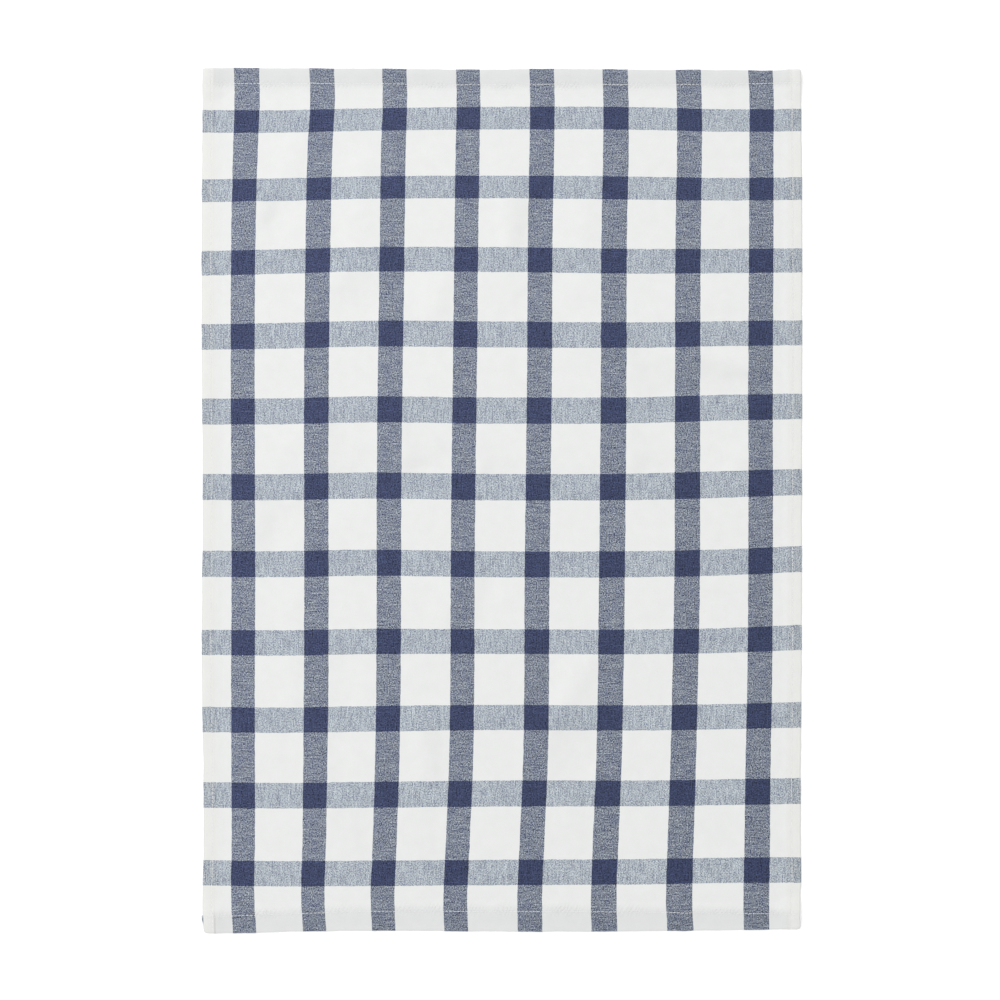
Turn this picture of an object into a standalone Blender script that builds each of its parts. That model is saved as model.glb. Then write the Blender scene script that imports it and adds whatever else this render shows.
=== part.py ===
"""A woven cotton tea towel lying flat, face up, on the plane z = 0.

It is one cut panel. Every edge is a double-turned hem of three layers, folded to the
underside, so the towel is one layer thick in the middle, thicker along its hems and
thickest at its corners, where a side hem is folded up inside an end hem.
Metres, +Z up. The long side runs along Y, and the origin is under the middle.
"""

import bpy
import numpy as np

NAME = "towel_cloth"
COLLECTION = "tea_towel"

# Finished size, hem edge to hem edge
WIDTH = 0.450
LENGTH = 0.648

# Height of the upper surface above the surface that the towel lies on
SINGLE_LAYER = 0.0010
HEM_RISE = 0.0006
CORNER_RISE = 0.0010
CORNER_RADIUS = 0.0030

# Depth of each finished hem, from the outer fold to the turned-in edge
SIDE_HEM = 0.0088

# How a hem's height changes with the share of its depth from the outer fold.
# rise: share of the hem's extra height. edge: share of the height left where the fold turns down.
BORDER = (
    # share, rise, edge
    (0.00, 1.00, 0.55),
    (0.12, 1.00, 0.92),
    (0.45, 1.00, 1.00),
    (0.80, 0.80, 1.00),  # the row of stitches draws the layers together
    (1.00, 0.85, 1.00),  # the turned-in edge
    (1.60, 0.00, 1.00),  # foot of the slope down to one layer
)

# Grid lines between the two borders
COLUMNS = 22
ROWS = 32

MM = 0.001

# How far each side edge stands outside its straight line, in millimetres
SIDE_EDGES = (
    # share of the length from the bottom, left, right
    (0.00, -1.0, -0.9),
    (0.015, -0.5, -1.1),
    (0.03, 0.2, -0.8),
    (0.045, 0.1, -0.3),
    (0.08, -0.4, -0.4),
    (0.15, -0.6, -0.6),
    (0.30, 0.8, 0.1),
    (0.50, 0.1, 0.3),
    (0.70, 0.9, 0.5),
    (0.85, 0.8, 0.4),
    (1.00, 0.0, -0.5),
)

# How far each end edge stands outside its straight line, and its hem's depth, in millimetres
END_EDGES = (
    # share of the width from the left, bottom edge, bottom hem, top edge, top hem
    (0.00, 1.2, 13.9, 0.8, 13.7),
    (0.03, 1.5, 14.7, 1.1, 13.9),
    (0.10, 1.0, 15.4, 0.9, 13.7),
    (0.14, 0.2, 15.2, 0.8, 13.6),
    (0.18, 0.0, 15.7, 0.7, 13.4),
    (0.30, -0.5, 16.6, 0.5, 13.4),
    (0.45, 0.0, 17.0, -0.2, 13.6),
    (0.60, 0.2, 17.2, 0.3, 13.5),
    (0.75, -0.2, 16.1, -0.4, 13.4),
    (0.90, -1.0, 14.5, -0.6, 12.3),
    (0.945, -1.25, 14.0, -1.0, 11.7),
    (0.97, -1.5, 13.7, -0.3, 12.2),
    (1.00, -1.8, 13.2, 0.3, 12.6),
)

# Soft troughs left in the lying cloth, in millimetres
TROUGHS = (
    # from x, from y, to x, to y, half width, depth
    (95.0, 88.0, 205.0, 80.0, 24.0, 0.22),
    (85.0, -60.0, 88.0, -170.0, 20.0, 0.18),
    (20.0, 240.0, 22.0, 185.0, 18.0, 0.15),
    (-165.0, 215.0, -185.0, 190.0, 22.0, 0.18),
    (-140.0, 45.0, -142.0, -15.0, 20.0, 0.15),
    (30.0, -186.0, 75.0, -184.0, 18.0, 0.15),
)


def clear_scene():
    for old in list(bpy.data.objects):
        bpy.data.objects.remove(old, do_unlink=True)


def smooth_through(table, column, shares):
    """A table's column at these shares, along a smooth curve through its rows."""
    rows = np.array(table)
    known = rows[:, 0]
    values = rows[:, column]
    slopes = np.gradient(values, known)
    after = np.clip(np.searchsorted(known, shares, side="right"), 1, len(known) - 1)
    before = after - 1
    span = known[after] - known[before]
    part = (shares - known[before]) / span
    square = part * part
    cube = square * part
    return (
        (2 * cube - 3 * square + 1) * values[before]
        + (cube - 2 * square + part) * span * slopes[before]
        + (3 * square - 2 * cube) * values[after]
        + (cube - square) * span * slopes[after]
    )


def lines_across(low_edge, high_edge, low_hem, high_hem, middle):
    """Grid lines from one edge to the other: both borders' own lines and even ones between."""
    shares = np.array(BORDER)[:, 0]
    low = [low_edge + share * low_hem for share in shares]
    high = [high_edge - share * high_hem for share in reversed(shares)]
    parts = [step / (middle + 1) for step in range(1, middle + 1)]
    between = [low[-1] + part * (high[0] - low[-1]) for part in parts]
    return np.array(low + between + high)


def border_values(column, middle):
    """A border column's value on every grid line; the middle keeps the innermost value."""
    values = np.array(BORDER)[:, column]
    return np.concatenate([values, np.full(middle, values[-1]), values[::-1]])


def trough_depth(x, y):
    """How far the soft troughs lower the upper surface at each point."""
    total = np.zeros_like(x)
    for from_x, from_y, to_x, to_y, half_width, depth in np.array(TROUGHS) * MM:
        run_x = to_x - from_x
        run_y = to_y - from_y
        along = (x - from_x) * run_x + (y - from_y) * run_y
        along = np.clip(along / (run_x**2 + run_y**2), 0, 1)
        away = np.hypot(x - from_x - along * run_x, y - from_y - along * run_y)
        total += depth * np.exp(-((away / half_width) ** 2))
    return total


def round_corners(x, y, reach_x, reach_y):
    """Draws the points near each corner in, so that the outline turns on an arc.

    reach_x and reach_y are each point's distances from its nearest side and end edge.
    """
    a = np.clip(1 - reach_x / CORNER_RADIUS, 0, 1)
    b = np.clip(1 - reach_y / CORNER_RADIUS, 0, 1)
    inward_x = CORNER_RADIUS * a * (1 - np.sqrt(1 - b * b / 2))
    inward_y = CORNER_RADIUS * b * (1 - np.sqrt(1 - a * a / 2))
    return x - np.sign(x) * inward_x, y - np.sign(y) * inward_y


def cloth_surface():
    """Plan positions and upper heights of the towel, as arrays indexed [row, column]."""
    half_width = WIDTH / 2
    half_length = LENGTH / 2
    across = (
        lines_across(-half_width, half_width, SIDE_HEM, SIDE_HEM, COLUMNS) / WIDTH + 0.5
    )
    end_hem = END_EDGES[0][2] * MM
    along = lines_across(-half_length, half_length, end_hem, end_hem, ROWS) / LENGTH + 0.5

    left = -half_width - smooth_through(SIDE_EDGES, 1, along) * MM
    right = half_width + smooth_through(SIDE_EDGES, 2, along) * MM
    bottom = -half_length - smooth_through(END_EDGES, 1, across) * MM
    bottom_hem = smooth_through(END_EDGES, 2, across) * MM
    top = half_length + smooth_through(END_EDGES, 3, across) * MM
    top_hem = smooth_through(END_EDGES, 4, across) * MM

    x = lines_across(left, right, SIDE_HEM, SIDE_HEM, COLUMNS).T
    y = lines_across(bottom, top, bottom_hem, top_hem, ROWS)
    reach_x = np.minimum(x - left[:, None], right[:, None] - x)
    reach_y = np.minimum(y - bottom, top - y)

    side = border_values(1, COLUMNS)[None, :]
    end = border_values(1, ROWS)[:, None]
    edge = np.minimum(border_values(2, COLUMNS)[None, :], border_values(2, ROWS)[:, None])
    open_cloth = (1 - side) * (1 - end)
    height = SINGLE_LAYER + HEM_RISE * (side + end) + CORNER_RISE * side * end
    height = height * edge - trough_depth(x, y) * open_cloth
    x, y = round_corners(x, y, reach_x, reach_y)
    return x, y, height


def set_on_origin(values):
    return values - (values.min() + values.max()) / 2


def make_cloth_mesh():
    """The underside as a grid of faces, with each vertex's height kept as a weight."""
    x, y, height = cloth_surface()
    rows, columns = x.shape
    bpy.ops.mesh.primitive_grid_add(
        x_subdivisions=columns - 1, y_subdivisions=rows - 1, size=1
    )
    cloth = bpy.context.object
    cloth.name = NAME
    cloth.data.name = NAME
    tallest = float(height.max())
    x = set_on_origin(x)
    y = set_on_origin(y)
    weights = cloth.vertex_groups.new(name="height")
    for vertex in cloth.data.vertices:
        column = round((vertex.co.x + 0.5) * (columns - 1))
        row = round((vertex.co.y + 0.5) * (rows - 1))
        vertex.co = (x[row, column], y[row, column], 0)
        weights.add([vertex.index], float(height[row, column]) / tallest, "REPLACE")
    return cloth, tallest


def add_thickness(cloth, tallest):
    """Solidify raises the upper surface straight above the flat underside."""
    solidify = cloth.modifiers.new("thickness", "SOLIDIFY")
    solidify.thickness = tallest
    solidify.offset = 1
    solidify.vertex_group = "height"
    solidify.thickness_vertex_group = 0
    solidify.use_rim = True


def check_cotton():
    material = bpy.data.materials.new("check_cotton")
    material.use_nodes = True
    shader = material.node_tree.nodes["Principled BSDF"]
    shader.inputs["Base Color"].default_value = (0.55, 0.58, 0.62, 1)
    shader.inputs["Roughness"].default_value = 0.9
    shader.inputs["Metallic"].default_value = 0
    return material


def put_in_collection(cloth):
    collection = bpy.data.collections.new(COLLECTION)
    bpy.context.scene.collection.children.link(collection)
    for old in list(cloth.users_collection):
        old.objects.unlink(cloth)
    collection.objects.link(cloth)


def build():
    clear_scene()
    cloth, tallest = make_cloth_mesh()
    add_thickness(cloth, tallest)
    cloth.data.materials.append(check_cotton())
    cloth.data.shade_smooth()
    cloth.data.set_sharp_from_angle(angle=np.radians(40))
    put_in_collection(cloth)


build()
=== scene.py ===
"""A hemmed cotton tea towel in a navy and white check, lying flat and face up on a pale floor.

The towel is one thin sheet that is turned under twice along every edge, side hems first, so
its corners hold nine layers. The check, the yarns and the hems' marks are worked out by the
cloth's material from maps that follow the threads. The stitches are real loops of thread.
"""

import bpy
import numpy as np
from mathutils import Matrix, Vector


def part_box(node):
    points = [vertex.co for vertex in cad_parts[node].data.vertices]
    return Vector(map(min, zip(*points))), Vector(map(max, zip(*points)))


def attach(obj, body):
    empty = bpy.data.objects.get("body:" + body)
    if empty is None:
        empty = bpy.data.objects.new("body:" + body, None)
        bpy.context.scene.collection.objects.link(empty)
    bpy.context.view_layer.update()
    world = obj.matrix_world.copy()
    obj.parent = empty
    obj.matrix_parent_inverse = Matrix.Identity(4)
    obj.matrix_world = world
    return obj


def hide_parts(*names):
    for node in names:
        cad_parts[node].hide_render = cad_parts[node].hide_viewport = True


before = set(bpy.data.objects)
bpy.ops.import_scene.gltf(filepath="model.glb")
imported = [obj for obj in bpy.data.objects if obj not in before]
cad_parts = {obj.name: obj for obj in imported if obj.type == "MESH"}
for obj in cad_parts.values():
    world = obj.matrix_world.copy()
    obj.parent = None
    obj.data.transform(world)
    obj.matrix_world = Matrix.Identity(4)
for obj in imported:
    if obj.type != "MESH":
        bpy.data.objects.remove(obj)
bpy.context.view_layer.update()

MM = 0.001
NODE = "towel_cloth"
BODY = "root"

# ------------------------------------------------------------------ sizes, in metres

WIDTH = 0.450
LENGTH = 0.648
CORNER_RADIUS = 0.0025

CLOTH = 0.00030  # one layer of cloth
PITCH = 0.00032  # from one folded layer to the next

SIDE_SEAM = 0.0070  # from the side edge to its row of stitches
PAST_SEAM = 0.0018  # from a row of stitches to the hem's turned-in edge
SIDE_TURN = 0.0070  # cloth turned in first, inside a side hem
END_TURN = 0.0080
SLOPE = 0.0075  # over which the face comes down from a hem to one layer
CORNER_SLOPE = 0.0140  # and from a corner's layers to the end hem beside it
PUFF = 0.00016  # how far a hem swells between its stitches and its fold
EDGE_WAVE = 0.00008  # how far each edge wavers on top of its table below
EDGE_WAVE_LENGTHS = (0.060, 0.012)  # the longest and the shortest

# At the bottom left corner the turned-under cloth shows a little past the edge
SLIP = 0.00125
SLIP_PLACE = 0.0106  # from the bottom edge
SLIP_HALF_LENGTH = 0.0031
SLIP_DEPTH = 0.0120  # how far in from the side edge it dies out

# How far each side edge stands outside its straight line, in millimetres
SIDE_EDGES = (
    # share of the length from the bottom, left, right
    (0.00, -1.0, -0.9),
    (0.015, -0.5, -1.1),
    (0.03, 0.2, -0.8),
    (0.045, 0.1, -0.3),
    (0.08, -0.4, -0.4),
    (0.15, -0.6, -0.6),
    (0.30, 0.8, 0.1),
    (0.50, 0.1, 0.3),
    (0.70, 0.9, 0.5),
    (0.85, 0.8, 0.4),
    (1.00, 0.0, -0.5),
)

# How far each end edge stands outside its straight line, and how deep its stitches lie
END_EDGES = (
    # share of the width from the left, bottom edge, bottom seam, top edge, top seam
    (0.00, 1.2, 12.0, 0.8, 11.8),
    (0.03, 1.5, 12.8, 1.1, 12.0),
    (0.10, 1.0, 13.5, 0.9, 11.8),
    (0.14, 0.2, 13.3, 0.8, 11.7),
    (0.18, 0.0, 13.8, 0.7, 11.5),
    (0.30, -0.5, 14.7, 0.5, 11.5),
    (0.45, 0.0, 15.1, -0.2, 11.7),
    (0.60, 0.2, 15.3, 0.3, 11.6),
    (0.75, -0.2, 14.2, -0.4, 11.5),
    (0.90, -1.0, 12.6, -0.6, 10.4),
    (0.945, -1.25, 12.1, -1.0, 9.8),
    (0.97, -1.5, 11.8, -0.3, 10.3),
    (1.00, -1.8, 11.3, 0.3, 10.7),
)

# ------------------------------------------------------------------ the check

YARNS = 108  # in one repeat of the check, each way
DARK_SHARE = 1 / 3
CHECK_WIDTH = 0.0553
MIDDLE_BAND = 3.5  # the warp bands are numbered from 0, and this is the middle of the towel

# Where the dark weft bands lie, in millimetres from the middle
WEFT_BANDS = (
    # band, place
    (-1, -338.5),
    (0, -279.7),
    (1, -220.9),
    (3, -106.1),
    (5, 10.7),
    (7, 124.4),
    (9, 234.3),
    (10, 286.0),
    (11, 339.0),
)

# How far the dark warp bands stand to the right of even spacing, in millimetres
LEAN_BANDS = (-1, 0, 1, 2, 4, 6, 7, 8)
LEAN = (
    # place along the towel, then one value for each of those bands
    (-322, -0.2, 0.1, -3.2, -6.0, -6.9, -4.3, -2.3, -3.6),
    (-306, -0.8, -1.1, -4.3, -6.8, -7.2, -5.0, -2.4, -3.6),
    (-255, -0.6, -0.9, -3.3, -5.1, -5.4, -4.0, -1.7, -3.4),
    (-200, -0.7, -1.0, -2.5, -3.3, -3.0, -2.3, -1.2, -3.2),
    (-140, -1.0, -1.2, -1.8, -2.3, -2.0, -0.8, 0.0, -2.6),
    (-75, -0.9, -0.9, -1.6, -2.0, -1.8, 0.5, 0.6, -2.2),
    (0, -1.2, -0.9, -1.7, -1.8, -1.0, 1.0, 0.8, -1.8),
    (100, -1.8, -1.4, -1.5, -0.8, 0.2, 1.1, 0.7, -1.6),
    (205, -2.4, -0.7, -0.2, 0.7, 0.8, 1.6, 1.3, -1.8),
    (260, -2.8, 0.6, 1.0, 1.4, 1.8, 2.5, 1.3, -1.8),
    (308, -3.4, 1.9, 3.0, 2.6, 2.2, 2.2, 1.3, -1.9),
    (322, -3.6, 1.5, 2.5, 2.2, 1.8, 1.6, 0.6, -2.0),
)

# How far the dark weft bands stand above their places, in millimetres
BOW_PLACES = (-222, -165, -110, 0, 110, 165, 222)
BOW = (
    # band, then one value for each of those places across the towel
    (0, -0.2, -0.9, -0.7, 0.0, 0.7, 1.7, 1.9),
    (2, -1.1, -1.6, -0.7, 0.5, 0.2, 1.0, 2.5),
    (4, -0.3, -0.6, 0.4, -0.8, -0.5, 0.6, 3.2),
    (6, -1.3, -1.1, 0.2, -0.6, -0.1, 1.6, 2.6),
    (8, -1.8, -0.5, 1.0, 1.0, -0.3, -0.2, 0.4),
    (10, -1.3, -1.4, -0.2, 1.1, 0.8, -0.7, -0.3),
)

# ------------------------------------------------------------------ relief

# Soft ridges, and troughs with a height below 0, in millimetres
SWELLS = (
    # from x, from y, to x, to y, half width, height
    (60, 118, 90, 120, 13, 1.8),
    (88, 118, 98, 100, 10, 1.8),
    (144, 107, 188, 103, 9, 2.2),
    (118, 112, 144, 107, 9, 1.5),
    (118, 74, 138, 84, 9, -2.8),
    (138, 80, 190, 84, 9, -2.8),
    (204, 58, 214, 46, 10, -2.4),
    (92, 52, 97, 30, 9, 1.6),
    (172, 16, 184, 36, 10, 1.6),
    (110, 22, 128, 20, 8, -1.8),
    (122, -2, 132, -14, 8, -1.8),
    (-190, -28, -186, 6, 9, 1.2),
    (-184, 10, -150, 52, 13, 1.0),
    (-173, -42, -167, -14, 8, -1.4),
    (-150, -12, -104, 20, 9, -1.8),
    (-60, 18, -38, 32, 9, -2.2),
    (-5, 18, 70, 17, 8, -1.2),
    (-137, 56, -135, 30, 9, 1.8),
    (-80, 56, -74, 34, 9, 2.0),
    (-20, 48, -16, 26, 9, 1.0),
    (-132, 160, -110, 178, 10, 1.8),
    (-110, 200, -104, 258, 11, 1.0),
    (-102, 150, -68, 171, 10, -1.6),
    (-50, 143, -47, 160, 9, 1.6),
    (3, 232, 5, 194, 9, 2.0),
    (24, 200, 31, 222, 9, -2.4),
    (18, 150, 48, 172, 9, -1.6),
    (60, 190, 66, 246, 10, 1.2),
    (-186, 226, -178, 216, 9, 2.0),
    (-171, 208, -166, 218, 8, -2.4),
    (-160, 248, -157, 264, 9, 1.2),
    (-122, 262, -62, 268, 9, -1.0),
    (28, -184, 42, -162, 10, 2.2),
    (42, -162, 64, -122, 10, 2.0),
    (54, -202, 71, -180, 10, -2.4),
    (66, -226, 68, -262, 10, -1.0),
    (35, -116, 38, -136, 8, -2.0),
    (-160, -78, -157, -150, 9, 1.2),
    (-122, -124, -118, -146, 8, -2.0),
    (-125, -182, -121, -214, 8, -1.4),
    (-62, -168, -58, -206, 9, 1.8),
    (-42, -180, -38, -202, 8, -1.4),
    (-30, -60, -52, -100, 10, 1.0),
    (-8, -56, -14, -92, 8, -1.4),
    (-101, -240, -98, -264, 9, -2.0),
    (-46, -240, -43, -300, 9, -1.6),
    (-136, -236, -128, -230, 9, 1.2),
)
STAND_OFF = 1.1 * MM  # how high the cloth lies on the whole, between the places where it touches
HEM_SHARE = 0.3  # how much of that is left along the edges
FULL_STAND_OFF = 35 * MM  # from the edge, where all of it is reached
RIPPLE = 0.09 * MM
OVER_FLOOR = 0.32 * MM  # under the hems, where the bobbin thread lies

# ------------------------------------------------------------------ stitches

STITCH = 0.0030
THREAD_RADIUS = 0.00018
THREAD_SIDES = 6
TWIST = 0.00055  # along which the thread's two plies turn once
SLANT = 0.00011  # how far a stitch runs askew to each side of its row
STITCH_SHAPE = (
    # share along the stitch, height over the cloth in thread radii
    (0.00, -1.9),
    (0.09, -1.3),
    (0.16, -0.4),
    (0.28, 0.6),
    (0.50, 1.0),
    (0.72, 0.6),
    (0.84, -0.4),
    (0.91, -1.3),
)


# ================================================================== curves and tables


def smooth_curve(knots, values, at):
    """A smooth curve through values at rising knots. Values may differ from point to point."""
    knots = np.array(knots, float)
    values = np.array(values, float)
    at = np.clip(at, knots[0], knots[-1])
    if values.ndim == 1:
        values = np.broadcast_to(values.reshape((-1,) + (1,) * at.ndim), (len(knots), *at.shape))
    slopes = np.gradient(values, knots, axis=0)
    after = np.clip(np.searchsorted(knots, at, side="right"), 1, len(knots) - 1)
    before = after - 1
    span = knots[after] - knots[before]
    part = (at - knots[before]) / span
    square = part * part
    cube = square * part

    def pick(array, index):
        return np.take_along_axis(array, index[None], axis=0)[0]

    return (
        (2 * cube - 3 * square + 1) * pick(values, before)
        + (cube - 2 * square + part) * span * pick(slopes, before)
        + (3 * square - 2 * cube) * pick(values, after)
        + (cube - square) * span * pick(slopes, after)
    )


def table_curve(table, column, at):
    rows = np.array(table)
    return smooth_curve(rows[:, 0], rows[:, column], at)


def table_surface(table, places, down, across):
    """A table read smoothly both ways: down its first column, and across its other ones."""
    columns = [table_curve(table, column + 1, down) for column in range(len(places))]
    return smooth_curve(places, columns, across)


def between(value, points):
    """The place that many steps along a list: 1.5 is halfway from the second to the third."""
    step = min(int(value), len(points) - 2)
    part = value - step
    return points[step] * (1 - part) + points[step + 1] * part


def line_length(points):
    """How far along a line each of its points lies."""
    steps = np.linalg.norm(np.diff(points, axis=0), axis=1)
    return np.concatenate([[0], np.cumsum(steps)])


def smooth_step(value):
    value = np.clip(value, 0, 1)
    return value * value * (3 - 2 * value)


def ripples(along, seed, longest, shortest, count=9):
    """A gentle irregular wave of height about 1, made of sine waves of these lengths."""
    rng = np.random.default_rng(seed)
    lengths = np.geomspace(longest, shortest, count)
    phases = rng.uniform(0, 2 * np.pi, count)
    waves = [np.sin(2 * np.pi * along / length + phase) for length, phase in zip(lengths, phases)]
    return np.sum(waves, axis=0) / np.sqrt(count / 2)


# ================================================================== the folded sheet

# The lines of the grid along one edge, from the raw edge inside the hem to the face
STATIONS = (
    # stretch of the fold, places in it
    ("turned in", (0.0, 0.35, 0.7)),
    ("inner fold", (0.0, 0.25, 0.5, 0.75)),
    ("under", (0.0, 0.5, 1.0, 1.35, 1.7)),
    ("outer fold", (0.0, 1 / 6, 2 / 6, 3 / 6, 4 / 6, 5 / 6)),
    ("face", (0.0, 0.12, 0.35, 0.62, 0.82, 0.92, 1.0, 1.25, 1.6, 2.0)),
    ("face", (2.14, 2.28, 2.42, 2.56, 2.72, 2.86, 3.0)),
)
EDGE_LINES = [(stretch, place) for stretch, places in STATIONS for place in places]
ON_SEAM = EDGE_LINES.index(("face", 1.0))
UNDER_SEAM = EDGE_LINES.index(("under", 1.0))
FIRST_FACE = EDGE_LINES.index(("face", 0.0))
FIRST_UNDER = EDGE_LINES.index(("under", 0.0))

MIDDLE_COLUMNS = 120
MIDDLE_ROWS = 172
TYPICAL_END_SEAM = 0.0125  # for where the rows cross the side edges


def slope_beside(stack):
    """How wide the slope is at the inner edge of a hem folded from cloth this thick."""
    return SLOPE * np.sqrt(stack / PITCH)


def hem_rise(inset, hem, slope):
    """1 on a hem and 0 beyond the slope at its inner edge."""
    return 1 - smooth_step((inset - hem) / slope)


def hem_puff(inset, seam):
    """How much of the swelling a hem has at this distance from its edge."""
    outer = np.sin(np.pi * np.clip(inset / seam, 0, 1)) ** 0.6
    inner = 0.45 * np.sin(np.pi * np.clip((inset - seam) / PAST_SEAM, 0, 1))
    return outer + inner


def folded(stretch, place, seam, turn, stack, lift):
    """(inset from the edge, height over the floor) of a grid line in a double-turned hem.

    stack is the thickness of what is folded, and lift is how high in it this layer lies.
    """
    hem = seam + PAST_SEAM
    inner = hem - stack
    outer = 1.5 * stack
    small = lift + PITCH / 2
    large = stack / 2 + small
    if stretch == "turned in":
        return inner - turn * (1 - place), stack + small
    if stretch == "inner fold":
        angle = np.pi * place
        return inner + small * np.sin(angle), stack + small * np.cos(angle)
    if stretch == "under":
        return between(place, [inner, seam, outer]), stack - small
    if stretch == "outer fold":
        angle = np.pi * place
        return outer - large * np.sin(angle), 1.5 * stack - large * np.cos(angle)
    slope = slope_beside(stack)
    inset = between(place, [outer, seam, hem, hem + slope])
    height = 2 * stack * hem_rise(inset, hem, slope) + PUFF * hem_puff(inset, seam) + small
    return inset, height


def side_columns():
    """Inset and lift of each column beside a side edge, and its inset on the flat cloth."""
    profile = [folded(*line, SIDE_SEAM, SIDE_TURN, PITCH, 0.0) for line in EDGE_LINES]
    inset, height = np.array(profile).T
    return inset, height - PITCH / 2, laid_flat(inset, height)


def laid_flat(inset, height):
    """Insets with the folded lines opened out beyond the edge, measured along the cloth."""
    steps = np.hypot(np.diff(inset, axis=0), np.diff(height, axis=0))
    back = np.cumsum(steps[FIRST_FACE - 1 :: -1], axis=0)[::-1]
    flat = np.array(inset)
    flat[:FIRST_FACE] = inset[FIRST_FACE] - back
    return flat


def both_edges(low, high, at_low, at_high, count):
    """Lines from edge to edge: at_low from low, even ones between, and at_high from high."""
    first = low + at_low
    last = high - at_high[::-1]
    parts = np.arange(1, count + 1) / (count + 1)
    parts = parts.reshape((-1,) + (1,) * (first.ndim - 1))
    middle = first[-1] + parts * (last[0] - first[-1])
    return np.concatenate([first, middle, last])


def side_edge(column, along, seed):
    offset = table_curve(SIDE_EDGES, column, along / LENGTH + 0.5) * MM
    return WIDTH / 2 + offset + EDGE_WAVE * ripples(along, seed, *EDGE_WAVE_LENGTHS)


def end_edge(column, across, seed):
    offset = table_curve(END_EDGES, column, across / WIDTH + 0.5) * MM
    return LENGTH / 2 + offset + EDGE_WAVE * ripples(across, seed, *EDGE_WAVE_LENGTHS)


def end_seam(column, across):
    return table_curve(END_EDGES, column, across / WIDTH + 0.5) * MM


def swell_height(x, y, from_edge):
    """How far the cloth stands off the floor: nowhere below it, and least along the hems."""
    total = np.full_like(x, STAND_OFF)
    for from_x, from_y, to_x, to_y, half_width, height in np.array(SWELLS) * MM:
        run_x = to_x - from_x
        run_y = to_y - from_y
        along = (x - from_x) * run_x + (y - from_y) * run_y
        along = np.clip(along / (run_x**2 + run_y**2), 0, 1)
        away = np.hypot(x - from_x - along * run_x, y - from_y - along * run_y)
        total += height * np.exp(-((away / half_width) ** 2))
    wave = ripples(0.9 * x + 0.4 * y, 3, 0.11, 0.028) + ripples(y - 0.3 * x, 4, 0.13, 0.03)
    total += RIPPLE * wave
    total = (total + np.hypot(total, 0.3 * STAND_OFF)) / 2
    return total * (HEM_SHARE + (1 - HEM_SHARE) * smooth_step(from_edge / FULL_STAND_OFF))


def fold_towel():
    """The towel's middle surface as arrays [row, column], with what its maps need."""
    side_inset, side_lift, side_flat = side_columns()
    edge_count = len(EDGE_LINES)
    row_count = 2 * edge_count + MIDDLE_ROWS
    near_end = [folded(*line, TYPICAL_END_SEAM, END_TURN, PITCH, 0.0)[0] for line in EDGE_LINES]
    near_end = np.array(near_end)
    nominal_y = both_edges(-LENGTH / 2, LENGTH / 2, near_end, near_end, MIDDLE_ROWS)

    left = -side_edge(1, nominal_y, 11)
    right = side_edge(2, nominal_y, 12)
    ones = np.ones((edge_count, row_count))
    insets = side_inset[:, None] * ones
    flat_insets = side_flat[:, None] * ones
    x = both_edges(left, right, insets, insets, MIDDLE_COLUMNS).T
    flat_x = both_edges(left, right, flat_insets, flat_insets, MIDDLE_COLUMNS).T
    lift = np.concatenate([side_lift, np.zeros(MIDDLE_COLUMNS), side_lift[::-1]])
    lift = lift * np.ones((row_count, 1))
    from_side = np.minimum(x - left[:, None], right[:, None] - x)
    on_side_hem = hem_rise(from_side, SIDE_SEAM + PAST_SEAM, CORNER_SLOPE)
    face_lift = 2 * PITCH * on_side_hem + PUFF * hem_puff(from_side, SIDE_SEAM)
    stack = PITCH + face_lift

    bottom = -end_edge(1, x, 13)
    top = end_edge(3, x, 14)
    bottom_seam = end_seam(2, x)
    top_seam = end_seam(4, x)
    heights = lift + PITCH / 2
    at_bottom = np.empty((edge_count, x.shape[1]))
    at_top = np.empty_like(at_bottom)
    for k, line in enumerate(EDGE_LINES):
        last = row_count - 1 - k
        at_bottom[k], heights[k] = folded(*line, bottom_seam[k], END_TURN, stack[k], lift[k])
        at_top[k], heights[last] = folded(*line, top_seam[last], END_TURN, stack[last], lift[last])
    y = both_edges(bottom[0], top[-1], at_bottom, at_top, MIDDLE_ROWS)
    y_flat = both_edges(
        bottom[0],
        top[-1],
        laid_flat(at_bottom, heights[:edge_count]),
        laid_flat(at_top, heights[::-1][:edge_count]),
        MIDDLE_ROWS,
    )
    from_bottom = y - bottom[0]
    from_top = top[-1] - y
    from_end = np.minimum(from_bottom, from_top)
    seam = np.where(from_bottom < from_top, bottom_seam, top_seam)
    return {
        "x": x,
        "y": y,
        "height": heights,
        "flat_x": flat_x,
        "flat_y": y_flat,
        "from_side": from_side,
        "from_end": from_end,
        "seam": seam,
    }


def round_corners(cloth):
    """Draws the points near each corner in, so that the outline turns on an arc."""
    a = np.clip(1 - cloth["from_side"] / CORNER_RADIUS, 0, 1)
    b = np.clip(1 - cloth["from_end"] / CORNER_RADIUS, 0, 1)
    cloth["x"] -= np.sign(cloth["x"]) * CORNER_RADIUS * a * (1 - np.sqrt(1 - b * b / 2))
    cloth["y"] -= np.sign(cloth["y"]) * CORNER_RADIUS * b * (1 - np.sqrt(1 - a * a / 2))


def slip_under_layers(cloth):
    """Draws the layers under the hem out past the left edge, by the bottom corner."""
    rows = np.arange(FIRST_FACE)
    near = np.exp(-(((cloth["from_end"][rows] - SLIP_PLACE) / SLIP_HALF_LENGTH) ** 4))
    fade = np.exp(-np.clip(cloth["from_side"][rows], 0, None) / SLIP_DEPTH)
    cloth["x"][rows] -= SLIP * near * fade * (cloth["x"][rows] < 0)


def set_in_box(cloth):
    """Centres the outline on the CAD cloth's box, and sets the bobbin thread on its underside."""
    low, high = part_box(NODE)
    cloth["x"] += (low[0] + high[0] - cloth["x"].min() - cloth["x"].max()) / 2
    cloth["y"] += (low[1] + high[1] - cloth["y"].min() - cloth["y"].max()) / 2
    cloth["height"] += low[2] + OVER_FLOOR


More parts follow.
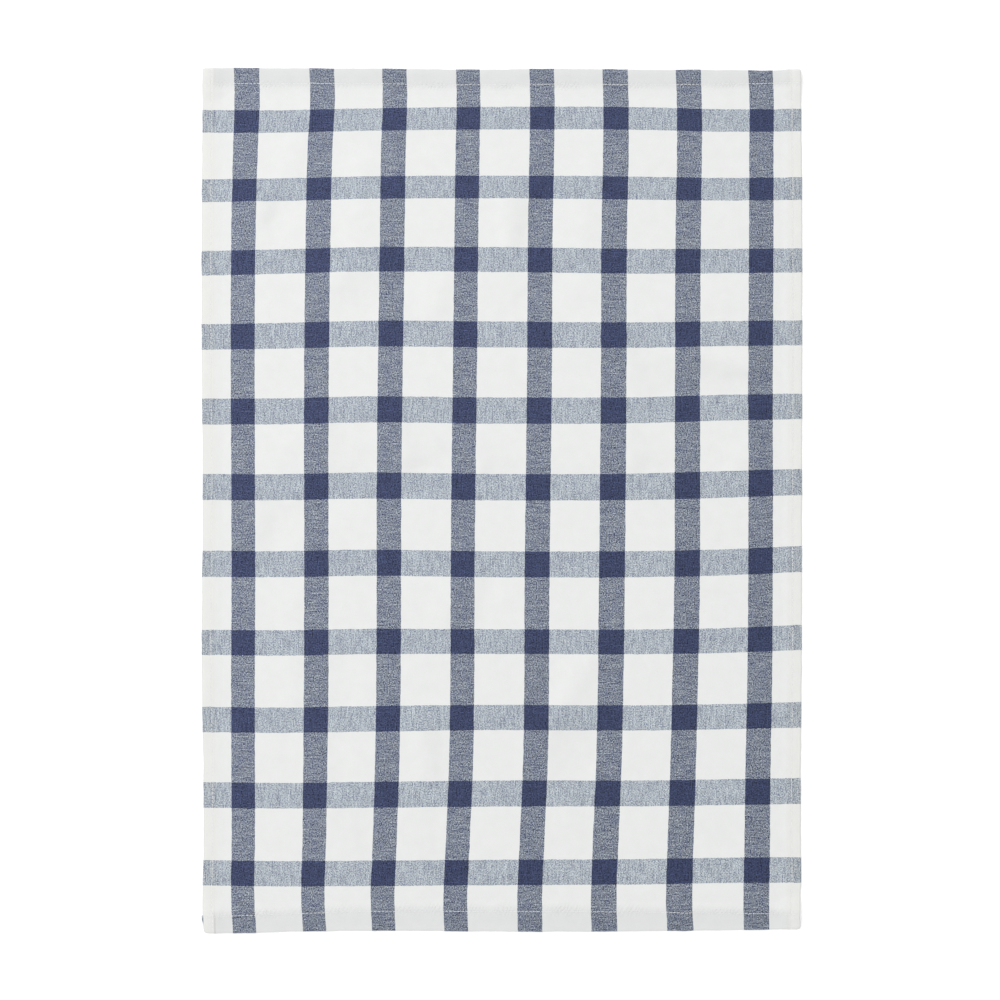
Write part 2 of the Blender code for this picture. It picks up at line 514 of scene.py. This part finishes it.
def unit(vectors):
    return vectors / np.linalg.norm(vectors, axis=-1, keepdims=True)


def surface_normals(points):
    """Unit normals of a grid of points, out of the towel's face."""
    along = np.gradient(points, axis=0)
    across = np.gradient(points, axis=1)
    return unit(np.cross(across, along))


# ================================================================== meshes


def new_mesh_object(name, points, faces, maps):
    """A mesh object with these UV maps, each given as one pair for every corner of every face."""
    mesh = bpy.data.meshes.new(name)
    mesh.from_pydata(points, [], faces)
    for map_name, corners in maps.items():
        layer = mesh.uv_layers.new(name=map_name)
        layer.uv.foreach_set("vector", np.asarray(corners, np.float32).ravel())
    mesh.shade_smooth()
    mesh.validate()
    made = bpy.data.objects.new(name, mesh)
    bpy.context.scene.collection.objects.link(made)
    return made


def grid_quads(rows, columns):
    """Corner indices of every square of a grid, anticlockwise from above."""
    index = np.arange(rows * columns).reshape(rows, columns)
    corners = [index[:-1, :-1], index[:-1, 1:], index[1:, 1:], index[1:, :-1]]
    return np.stack(corners, axis=-1).reshape(-1, 4)


def rim_loop(rows, columns):
    """Indices of the grid's outermost points, in order round it."""
    index = np.arange(rows * columns).reshape(rows, columns)
    return np.concatenate([index[0, :-1], index[:-1, -1], index[-1, :0:-1], index[:0:-1, 0]])


# How the flat cloth is spread over the picture that the OFBake map lays out: the face gets the most
FACE_STRIP = (0.005, 0.620)
BACK_STRIP = (0.640, 0.965)
RIM_STRIP = (0.980, 0.995)
RIM_MARGIN = 0.005


def spread_in_strip(flat_x, flat_y, strip):
    """Each point's place in that picture, with the towel's length along the picture's width."""
    share_x = (flat_x - flat_x.min()) / (flat_x.max() - flat_x.min())
    share_y = (flat_y - flat_y.min()) / (flat_y.max() - flat_y.min())
    along = RIM_MARGIN + (1 - 2 * RIM_MARGIN) * share_y
    across = strip[0] + (strip[1] - strip[0]) * share_x
    return np.stack([along, across], axis=-1).reshape(-1, 2)


def make_towel(cloth):
    points = np.stack([cloth["x"], cloth["y"], cloth["height"]], axis=-1)
    normals = surface_normals(points)
    rows, columns = cloth["x"].shape
    quads = grid_quads(rows, columns)
    count = rows * columns
    loop = rim_loop(rows, columns)
    after = np.roll(loop, -1)
    rim = np.stack([loop, loop + count, after + count, after], axis=1)
    vertices = np.concatenate([points + normals * CLOTH / 2, points - normals * CLOTH / 2])
    faces = np.concatenate([quads, quads[:, ::-1] + count, rim])

    def for_corners(values):
        flat_values = values.reshape(count, 2)
        return flat_values[faces.ravel() % count]

    hem_places = [cloth["from_side"] / SIDE_SEAM, cloth["from_end"] / cloth["seam"]]
    maps = {
        "Weave": for_corners(thread_counts(cloth)),
        "Hem": for_corners(np.stack(hem_places, axis=-1)),
        "Stitch": for_corners(stitch_counts(points)),
        "OFBake": bake_places(cloth, quads, len(rim)),
    }
    towel = new_mesh_object("towel", vertices.reshape(-1, 3).tolist(), faces.tolist(), maps)
    return towel, points, normals


def bake_places(cloth, quads, rim_count):
    face = spread_in_strip(cloth["flat_x"], cloth["flat_y"], FACE_STRIP)[quads]
    back = spread_in_strip(cloth["flat_x"], cloth["flat_y"], BACK_STRIP)[quads[:, ::-1]]
    marks = np.linspace(RIM_MARGIN, 1 - RIM_MARGIN, rim_count + 1)
    start = marks[:-1]
    end = marks[1:]
    low = np.full(rim_count, RIM_STRIP[0])
    high = np.full(rim_count, RIM_STRIP[1])
    corners = [(start, low), (start, high), (end, high), (end, low)]
    rim = np.stack([np.stack(corner, axis=-1) for corner in corners], axis=1)
    return np.concatenate([face, back, rim])


def thread_counts(cloth):
    """Each point's place in checks: across the warp bands, and along the weft bands."""
    x = cloth["flat_x"] / MM
    y = cloth["flat_y"] / MM
    places = [(band - MIDDLE_BAND) * CHECK_WIDTH / MM for band in LEAN_BANDS]
    warp = (x - table_surface(LEAN, places, y, x)) * MM / CHECK_WIDTH + MIDDLE_BAND
    bands = [(place, band) for band, place in WEFT_BANDS]
    band = table_curve(bands, 1, y)
    weft = table_curve(bands, 1, y - table_surface(BOW, BOW_PLACES, band, x))
    return np.stack([warp, weft], axis=-1)


def stitch_counts(points):
    """How many stitches along the nearest side seam and end seam each point lies."""
    rows, columns = points.shape[:2]
    left = line_length(points[:, ON_SEAM])
    right = line_length(points[:, -1 - ON_SEAM])
    low = line_length(points[ON_SEAM])
    high = line_length(points[-1 - ON_SEAM])
    along_side = np.where(np.arange(columns) < columns / 2, left[:, None], right[:, None])
    along_end = np.where(np.arange(rows)[:, None] < rows / 2, low, high)
    return np.stack([along_side, along_end], axis=-1) / STITCH


# ================================================================== stitching


def thread_path(length, start, stop, points, normals):
    """Centre line and upward directions of one row of stitches along a line of the cloth.

    length is how far along the row each point of that line lies, so that the stitches on
    both sides of a hem share their needle holes.
    """
    first = int(np.ceil(length[start] / STITCH))
    last = int(np.floor(length[stop] / STITCH))
    shares, heights = np.array(STITCH_SHAPE).T
    along = ((np.arange(first, last)[:, None] + shares) * STITCH).ravel()
    rise = np.tile(heights, last - first) * THREAD_RADIUS + CLOTH / 2
    askew = np.tile(2 * shares - 1, last - first) * SLANT
    centre = np.stack([np.interp(along, length, points[:, axis]) for axis in range(3)], axis=-1)
    normal = np.stack([np.interp(along, length, normals[:, axis]) for axis in range(3)], axis=-1)
    normal /= np.linalg.norm(normal, axis=1, keepdims=True)
    sideways = unit(np.cross(normal, np.gradient(centre, axis=0)))
    return centre + normal * rise[:, None] + sideways * askew[:, None], normal


def thread_tube(centre, normal):
    """Points, faces and map of a closed tube of thread along a line."""
    ahead = unit(np.gradient(centre, axis=0))
    sideways = unit(np.cross(normal, ahead))
    upward = np.cross(ahead, sideways)
    share = np.arange(THREAD_SIDES) / THREAD_SIDES
    angle = 2 * np.pi * share[:, None]
    ring = np.cos(angle) * sideways[:, None] + np.sin(angle) * upward[:, None]
    points = (centre[:, None] + THREAD_RADIUS * ring).reshape(-1, 3)
    index = np.arange(len(points)).reshape(-1, THREAD_SIDES)
    turned = np.roll(index, -1, axis=1)
    quads = np.stack([index[:-1], turned[:-1], turned[1:], index[1:]], axis=-1).reshape(-1, 4)
    length = line_length(centre)
    around, start = np.meshgrid(share, length[:-1])
    end = np.meshgrid(share, length[1:])[1]
    step = 1 / THREAD_SIDES
    corners = [(around, start), (around + step, start), (around + step, end), (around, end)]
    places = np.stack([np.stack(corner, axis=-1) for corner in corners], axis=2).reshape(-1, 2)
    return points, quads, places, (index[0, ::-1], index[-1])


def seam_lines(points, normals):
    """Every row of stitches: the cloth's line under it, and how far along the row each point is."""
    rows, columns = points.shape[:2]
    last_row = rows - 1
    last_column = columns - 1
    for face, under in ((ON_SEAM, UNDER_SEAM), (last_column - ON_SEAM, last_column - UNDER_SEAM)):
        length = line_length(points[:, face])
        for column in (face, under):
            yield length, FIRST_UNDER, last_row - FIRST_UNDER, points[:, column], normals[:, column]
    for face, under in ((ON_SEAM, UNDER_SEAM), (last_row - ON_SEAM, last_row - UNDER_SEAM)):
        length = line_length(points[face])
        for row in (face, under):
            yield length, FIRST_FACE, last_column - FIRST_FACE, points[row], normals[row]


def make_stitching(points, normals):
    """Needle thread on the hems' upper side and bobbin thread beneath, as one piece."""
    vertices, faces, places = [], [], []
    total = 0
    for line in seam_lines(points, normals):
        tube, quads, quad_places, caps = thread_tube(*thread_path(*line))
        vertices.append(tube)
        faces += (quads + total).tolist()
        places.append(quad_places)
        for cap in caps:
            faces.append((cap + total).tolist())
            places.append(np.zeros((len(cap), 2)))
        total += len(tube)
    maps = {"Twist": np.concatenate(places)}
    return new_mesh_object("hem_stitching", np.concatenate(vertices).tolist(), faces, maps)


# ================================================================== materials

WHITE_YARN = (0.699, 0.708, 0.699)
NAVY_YARN = (0.0273, 0.0374, 0.0840)
NAVY_WITH_PAINTED_SHEEN = (0.0458, 0.0575, 0.1215)  # lighter towards the top left corner: painted sheen from the key light there
WHITE_WITH_PAINTED_NAVY_SHADE = (0.620, 0.675, 0.707)  # white yarn is darker and bluer where it crosses navy: painted shade and blue bounce light from the navy yarns beside it
THREAD_WHITE = (0.830, 0.835, 0.830)
FLOOR_WHITE = (0.970, 0.970, 0.970)

# The shade of a hem's layers against one layer; the top hem's extra grey is painted shade, where
# its fold faces away from the light at the top left
SIDE_HEM = (0.996, 0.990, 0.972)
BOTTOM_HEM = (0.917, 0.920, 0.925)
TOP_HEM_PAINTED_SHADE = (0.899, 0.902, 0.907)


class Look:
    """One material, with short calls that add nodes to it."""

    def __init__(self, name):
        self.material = bpy.data.materials.new(name)
        self.material.use_nodes = True
        self.tree = self.material.node_tree
        self.shader = self.tree.nodes["Principled BSDF"]

    def put(self, socket, value):
        if isinstance(value, bpy.types.NodeSocket):
            self.tree.links.new(value, socket)
        else:
            socket.default_value = value

    def add(self, kind, sockets, **settings):
        node = self.tree.nodes.new("ShaderNode" + kind)
        for name, value in settings.items():
            setattr(node, name, value)
        for name, value in sockets.items():
            self.put(node.inputs[name], value)
        return node

    def math(self, operation, *values):
        return self.add("Math", dict(enumerate(values)), operation=operation).outputs[0]

    def plus(self, *values):
        total = values[0]
        for value in values[1:]:
            total = self.math("ADD", total, value)
        return total

    def times(self, *values):
        total = values[0]
        for value in values[1:]:
            total = self.math("MULTIPLY", total, value)
        return total

    def minus(self, first, second):
        return self.math("SUBTRACT", first, second)

    def rise(self, value, low, high, low_value=0.0, high_value=1.0):
        """Goes smoothly from low_value to high_value as the value goes from low to high."""
        sockets = {0: value, 1: low, 2: high, 3: low_value, 4: high_value}
        return self.add("MapRange", sockets, interpolation_type="SMOOTHSTEP").outputs[0]

    def place(self, across, along):
        return self.add("CombineXYZ", {0: across, 1: along}).outputs[0]

    def noise(self, across, along, detail=0.0):
        """Soft noise about 0, one grain for each step of 1."""
        sockets = {"Vector": self.place(across, along), "Scale": 1.0, "Detail": detail}
        fac = self.add("TexNoise", sockets, noise_dimensions="2D").outputs[0]
        return self.minus(fac, 0.5)

    def map_places(self, name):
        places = self.add("UVMap", {}, uv_map=name).outputs[0]
        parts = self.add("SeparateXYZ", {0: places}).outputs
        return parts[0], parts[1]

    def blend(self, share, first, second):
        """first where share is 0, second where it is 1. Both are colours."""
        node = self.add("Mix", {0: share}, data_type="RGBA")
        self.put(node.inputs[6], self.colour(first))
        self.put(node.inputs[7], self.colour(second))
        return node.outputs[2]

    def tint(self, colour, share, shade):
        """The colour times the shade, as far as share says."""
        node = self.add("Mix", {0: share}, data_type="RGBA", blend_type="MULTIPLY")
        self.put(node.inputs[6], self.colour(colour))
        self.put(node.inputs[7], self.colour(shade))
        return node.outputs[2]

    def shade(self, colour, amount):
        """The colour with its brightness times this amount."""
        grey = self.add("CombineColor", {0: amount, 1: amount, 2: amount}).outputs[0]
        node = self.add("Mix", {0: 1.0}, data_type="RGBA", blend_type="MULTIPLY")
        self.put(node.inputs[6], self.colour(colour))
        self.put(node.inputs[7], grey)
        return node.outputs[2]

    def colour(self, value):
        return (*value, 1.0) if isinstance(value, tuple) else value

    def bump(self, height, distance, strength, under=None):
        sockets = {"Height": height, "Distance": distance, "Strength": strength}
        if under is not None:
            sockets["Normal"] = under
        return self.add("Bump", sockets).outputs[0]


def in_dark_band(look, yarn):
    """1 where this yarn is one of the check's navy ones. yarn is a whole number."""
    place = look.math("FRACT", look.plus(look.times(yarn, 1 / YARNS), 0.5))
    away = look.math("ABSOLUTE", look.minus(place, 0.5))
    return look.math("LESS_THAN", away, DARK_SHARE / 2)


def wandering_yarns(look, warp_check, weft_check):
    """The place counted in yarns, both ways. Yarns wander a little from their even places."""
    warp = look.times(warp_check, YARNS)
    weft = look.times(weft_check, YARNS)
    warp_astray = look.noise(look.times(warp, 0.16), look.times(weft, 0.07))
    warp = look.plus(warp, look.times(warp_astray, 0.9))
    weft_astray = look.noise(look.times(warp, 0.07), look.times(weft, 0.16))
    weft = look.plus(weft, look.times(weft_astray, 0.9))
    return warp, weft


def yarn_colours(look, warp, weft, painted_sheen):
    """The cloth's colour, its threads' height, and 1 where only the weft is navy."""
    warp_yarn = look.math("FLOOR", look.plus(warp, 0.5))
    weft_yarn = look.math("FLOOR", look.plus(weft, 0.5))
    warp_dark = in_dark_band(look, warp_yarn)
    weft_dark = in_dark_band(look, weft_yarn)
    only_warp_dark = look.times(warp_dark, look.minus(1.0, weft_dark))
    only_weft_dark = look.times(weft_dark, look.minus(1.0, warp_dark))
    warp_slub = look.noise(look.times(warp_yarn, 3.7), look.times(weft, 0.06))
    weft_slub = look.noise(look.times(warp, 0.06), look.times(weft_yarn, 3.7))
    grain = look.noise(look.times(warp, 0.55), look.times(weft, 0.55), 1.0)

    # Plain weave: above 0 where the warp passes over, and below 0 where the weft does
    over = look.times(
        look.math("COSINE", look.times(warp, np.pi)),
        look.math("COSINE", look.times(weft, np.pi)),
    )
    # The navy warp bands show a little more white towards the top left: part of the painted sheen
    cover = look.plus(
        look.times(only_warp_dark, look.plus(-0.420, look.times(painted_sheen, 0.07))),
        look.times(only_weft_dark, -0.04),
        look.times(grain, 1.7),
        look.times(weft_slub, look.plus(0.3, look.times(warp_dark, 0.34))),
        look.times(warp_slub, look.plus(-0.3, look.times(weft_dark, -0.34))),
    )
    above = look.minus(over, cover)
    warp_shows = look.rise(above, -0.12, 0.12)
    thread_height = look.math("POWER", look.math("ABSOLUTE", above), 0.5)

    # Each yarn is its own shade, and white yarn is darker and bluer where it crosses navy: painted
    # shade and bounce light from the navy
    warp_white = look.blend(weft_dark, WHITE_YARN, WHITE_WITH_PAINTED_NAVY_SHADE)
    weft_white = look.blend(warp_dark, WHITE_YARN, WHITE_WITH_PAINTED_NAVY_SHADE)
    # Besides random grain, painted light on each navy yarn's crown and painted shade at its sides
    mottle = look.plus(0.69, look.times(grain, 2.8), look.times(thread_height, 0.5))
    # Painted sheen: the navy is lighter and greyer towards the top left, where the key light is
    navy = look.blend(painted_sheen, NAVY_YARN, NAVY_WITH_PAINTED_SHEEN)
    warp_navy = look.shade(navy, look.plus(mottle, look.times(warp_slub, 1.2)))
    weft_navy = look.shade(navy, look.plus(mottle, look.times(weft_slub, 1.2)))
    warp_colour = look.blend(warp_dark, warp_white, warp_navy)
    weft_colour = look.blend(weft_dark, weft_white, weft_navy)
    colour = look.blend(warp_shows, weft_colour, warp_colour)
    # Painted shade in the gaps between the yarns, and painted light on their crowns
    colour = look.shade(colour, look.rise(thread_height, 0.0, 0.8, 0.94, 1.02))
    patches = look.noise(look.times(warp, 0.06), look.times(weft, 0.06), 3.0)
    colour = look.shade(colour, look.plus(1.0, look.times(patches, 0.055)))
    return colour, thread_height, only_weft_dark


def shade_hems(look, colour, only_weft_dark, side, end, on_side, on_end, at_top):
    """A hem's layers look a little greyer than one layer, and the side ones warmer. The top hem
    gets more grey: painted shade where its fold faces away from the light.
    """
    beside = look.rise(side, 1.05, 1.35, 0.2, 1.0)
    end_share = look.times(on_end, beside, look.rise(end, 0.0, 0.6, 0.78, 1.0))
    # The top hem's extra grey is painted shade
    end_shade = look.blend(at_top, BOTTOM_HEM, TOP_HEM_PAINTED_SHADE)
    colour = look.tint(colour, on_side, SIDE_HEM)
    colour = look.tint(colour, end_share, end_shade)
    return look.shade(colour, look.plus(1.0, look.times(only_weft_dark, on_side, -0.06)))


def paint_hem_shade_lines(look, colour, side, on_right, on_end, at_top):
    """Painted shade: faint dark lines along the side hems' outer folds, darker on the right, away
    from the light, and along the left hem's turned-in edge, stronger in the bottom hem.
    """
    outer_fold_shade = look.plus(0.90, look.times(on_right, -0.08))
    colour = look.shade(colour, look.rise(side, 0.0, 0.16, outer_fold_shade, 1.0))
    from_line = look.math("ABSOLUTE", look.plus(side, -1.26, look.times(on_end, 0.05)))
    line = look.rise(from_line, 0.0, 0.17, look.minus(1.0, on_right), 0.0)
    shade_depth = look.plus(-0.016, look.times(on_end, look.minus(1.0, at_top), -0.15))
    return look.shade(colour, look.plus(1.0, look.times(line, shade_depth)))


def woven_check():
    look = Look("woven_check")
    warp_check, weft_check = look.map_places("Weave")
    side, end = look.map_places("Hem")
    side_stitch, end_stitch = look.map_places("Stitch")
    on_side = look.rise(side, 1.2, 1.7, 1.0, 0.0)
    on_end = look.rise(end, 0.85, 1.5, 1.0, 0.0)
    on_right = look.math("GREATER_THAN", warp_check, MIDDLE_BAND)
    at_top = look.rise(weft_check, 4.0, 6.0)

    # Painted sheen, lighter towards the key light: from 0 at the bottom right corner to 1 at the
    # top left
    painted_sheen = look.plus(0.545, look.times(warp_check, -0.070), look.times(weft_check, 0.040))
    painted_sheen = look.rise(painted_sheen, -0.25, 1.25)
    warp, weft = wandering_yarns(look, warp_check, weft_check)
    colour, thread_height, only_weft_dark = yarn_colours(look, warp, weft, painted_sheen)
    colour = shade_hems(look, colour, only_weft_dark, side, end, on_side, on_end, at_top)
    colour = paint_hem_shade_lines(look, colour, side, on_right, on_end, at_top)

    height = look.plus(pucker(look, side, side_stitch, 0.10), pucker(look, end, end_stitch, 0.06))
    height = look.plus(height, dimples(look, end, end_stitch))
    tugs = look.noise(look.times(side_stitch, 0.55), look.times(end_stitch, 0.55), 1.0)
    height = look.plus(height, look.times(tugs, look.math("MAXIMUM", on_side, on_end), 0.9))
    normal = look.bump(height, 0.00012, 0.7)
    normal = look.bump(thread_height, 0.00007, 0.6, normal)

    look.put(look.shader.inputs["Base Color"], colour)
    look.put(look.shader.inputs["Normal"], normal)
    look.put(look.shader.inputs["Roughness"], look.rise(thread_height, 0.0, 1.0, 0.95, 0.84))
    look.shader.inputs["Specular IOR Level"].default_value = 0.25
    look.shader.inputs["Sheen Weight"].default_value = 0.12
    look.shader.inputs["Sheen Roughness"].default_value = 0.5
    return look.material


def pucker(look, across, along, half_width):
    """The dent that each stitch pulls in the cloth. across is 1 on the row of stitches."""
    near = look.rise(look.math("ABSOLUTE", look.minus(across, 1.0)), 0.0, half_width, 1.0, 0.0)
    hole = look.plus(0.6, look.times(look.math("COSINE", look.times(along, 2 * np.pi)), 0.4))
    return look.times(near, hole, -0.6)


def dimples(look, across, along):
    """The small uneven dimples, staggered like bricks, that the stitches draw in the cloth."""
    near = look.rise(look.math("ABSOLUTE", look.minus(across, 1.08)), 0.0, 0.5, 1.0, 0.0)
    astray = look.noise(look.times(along, 0.45), look.times(across, 2.0))
    places = look.plus(along, look.times(astray, 1.2))
    wave = look.math("COSINE", look.times(places, 2 * np.pi))
    rows = look.math("COSINE", look.times(look.minus(across, 1.0), 2.8 * 2 * np.pi))
    strength = look.rise(look.noise(look.times(along, 0.12), 3.0), -0.2, 0.2, 0.4, 2.6)
    return look.times(near, wave, rows, strength)


def twisted_thread():
    look = Look("twisted_thread")
    around, along = look.map_places("Twist")
    turns = look.plus(around, look.times(along, 1 / TWIST))
    ply = look.math("ABSOLUTE", look.math("SINE", look.times(turns, 2 * np.pi)))
    fuzz = look.noise(look.times(along, 900.0), look.times(around, 5.0), 2.0)
    # Painted shade in the grooves between the two plies, with random fuzz
    shade = look.plus(0.94, look.times(ply, 0.06), look.times(fuzz, 0.10))
    look.put(look.shader.inputs["Base Color"], look.shade(THREAD_WHITE, shade))
    look.put(look.shader.inputs["Normal"], look.bump(ply, 0.00006, 0.7))
    look.put(look.shader.inputs["Roughness"], look.rise(ply, 0.0, 1.0, 0.85, 0.62))
    look.shader.inputs["Sheen Weight"].default_value = 0.15
    return look.material


def pale_floor():
    look = Look("pale_floor")
    place = look.add("NewGeometry", {}).outputs["Position"]
    parts = look.add("SeparateXYZ", {0: place}).outputs
    mottle = look.noise(look.times(parts[0], 4.0), look.times(parts[1], 4.0), 1.0)
    colour = look.shade(FLOOR_WHITE, look.plus(1.0, look.times(mottle, 0.004)))
    look.put(look.shader.inputs["Base Color"], colour)
    look.shader.inputs["Emission Color"].default_value = (1, 1, 1, 1)
    look.shader.inputs["Emission Strength"].default_value = FLOOR_GLOW
    look.shader.inputs["Roughness"].default_value = 0.9
    look.shader.inputs["Specular IOR Level"].default_value = 0.0
    return look.material


# ================================================================== the studio

LENS = 100.0  # millimetres, as the sensor's width is
SENSOR_WIDTH = 36.0
VIEW_WIDTH = 0.752
VIEW_SHIFT = (-0.0014, 0.0004)  # the middle of the view from the middle of the towel
ROOM_LIGHT = 1.0
FLOOR_GLOW = 0.15
FLOOR_SIZE = 12.0
KEY_PLACE = (-1.9, 1.6, 2.25)
KEY_SIZE = 1.5
KEY_POWER = 36.0


def make_floor():
    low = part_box(NODE)[0]
    bpy.ops.mesh.primitive_plane_add(size=FLOOR_SIZE, location=(0, 0, low[2]))
    floor = bpy.context.object
    floor.name = "floor"
    floor.data.materials.append(pale_floor())
    return floor


def make_camera():
    data = bpy.data.cameras.new("camera")
    data.lens = LENS
    data.sensor_width = SENSOR_WIDTH
    camera = bpy.data.objects.new("camera", data)
    bpy.context.scene.collection.objects.link(camera)
    camera.location = (*VIEW_SHIFT, VIEW_WIDTH * LENS / SENSOR_WIDTH)
    bpy.context.scene.camera = camera


def soft_box(name, place, target, size, power):
    data = bpy.data.lights.new(name, "AREA")
    data.shape = "SQUARE"
    data.size = size
    data.energy = power
    light = bpy.data.objects.new(name, data)
    bpy.context.scene.collection.objects.link(light)
    light.location = place
    aim = Vector(target) - Vector(place)
    light.rotation_euler = aim.to_track_quat("-Z", "Y").to_euler()


def make_light():
    world = bpy.data.worlds.new("room")
    world.use_nodes = True
    background = world.node_tree.nodes["Background"]
    background.inputs["Color"].default_value = (1, 1, 1, 1)
    background.inputs["Strength"].default_value = ROOM_LIGHT
    bpy.context.scene.world = world
    soft_box("key", KEY_PLACE, (0, 0, 0), KEY_SIZE, KEY_POWER)
    bpy.context.scene.view_settings.view_transform = "Standard"


# ================================================================== the whole towel


def main():
    make_camera()
    make_light()
    floor = make_floor()
    cloth = fold_towel()
    slip_under_layers(cloth)
    round_corners(cloth)
    from_edge = np.minimum(cloth["from_side"], cloth["from_end"])
    cloth["height"] += swell_height(cloth["x"], cloth["y"], from_edge)
    set_in_box(cloth)
    towel, points, normals = make_towel(cloth)
    towel.data.materials.append(woven_check())
    stitching = make_stitching(points, normals)
    stitching.data.materials.append(twisted_thread())
    for piece in (towel, stitching):
        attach(piece, BODY)
    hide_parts(NODE)


main()
